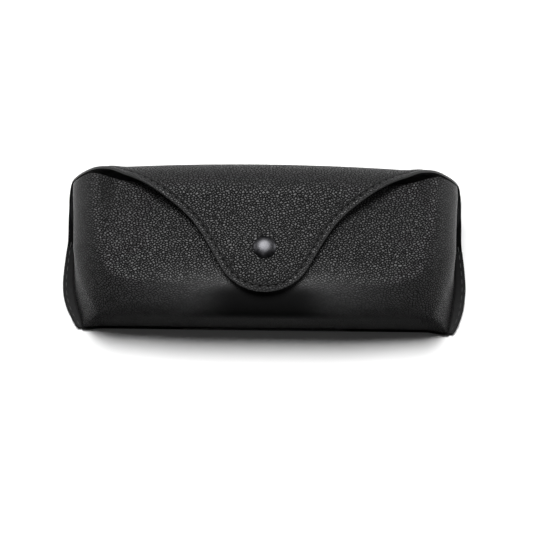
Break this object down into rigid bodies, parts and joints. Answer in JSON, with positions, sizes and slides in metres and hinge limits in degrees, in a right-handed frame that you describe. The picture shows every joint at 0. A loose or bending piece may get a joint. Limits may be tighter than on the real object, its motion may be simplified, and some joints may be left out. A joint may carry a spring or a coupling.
{
  "type": "eyeglasses case",
  "caption": "Soft eyeglasses case in pebbled faux leather: boxed pocket with sewn side flanges and a fold-over flap with a rounded tongue, closed by a domed snap.",
  "frame": {"origin": "on the back face, in the middle of the case's outline, with the case lying on its back", "axes": "+X along the length of the case, +Y towards the folded top edge, +Z out of the flap side"},
  "size_m": [0.169, 0.0623, 0.0433],
  "materials": {
    "leather": "pebbled, satin",
    "board": "plain",
    "lining": "short nap",
    "thread": "twisted polyester",
    "snap_metal": "gunmetal plated",
    "spring_brass": "plain"
  },
  "bodies": {
    "pocket": {"front_leather": "leather", "front_board": "board", "front_lining": "lining", "back_leather": "leather", "back_board": "board", "back_lining": "lining", "left_seam_thread": "thread", "right_seam_thread": "thread", "mouth_thread": "thread", "snap_stud": "snap_metal", "snap_post": "snap_metal"},
    "lid": {"top_leather": "leather", "top_board": "board", "top_lining": "lining", "top_thread": "thread"},
    "tongue": {"flap_leather": "leather", "flap_board": "board", "flap_lining": "lining", "flap_thread": "thread", "snap_cap": "snap_metal", "snap_socket": "snap_metal", "snap_spring": "spring_brass"}
  },
  "joints": [
    {"name": "flap_hinge", "type": "hinge", "parent": "pocket", "child": "lid", "pos_m": [0, 0.0269, 0.0041], "axis": [-1, 0, 0], "range_deg": [0, 80], "deforming": ["snap_spring"]},
    {"name": "tongue_bend", "type": "hinge", "parent": "lid", "child": "tongue", "pos_m": [0, 0.024, 0.03992], "axis": [-1, 0, 0], "range_deg": [0, 96]}
  ],
  "couplings": [
    {"joint": "tongue_bend", "follows": "flap_hinge", "ratio": 1.2}
  ]
}
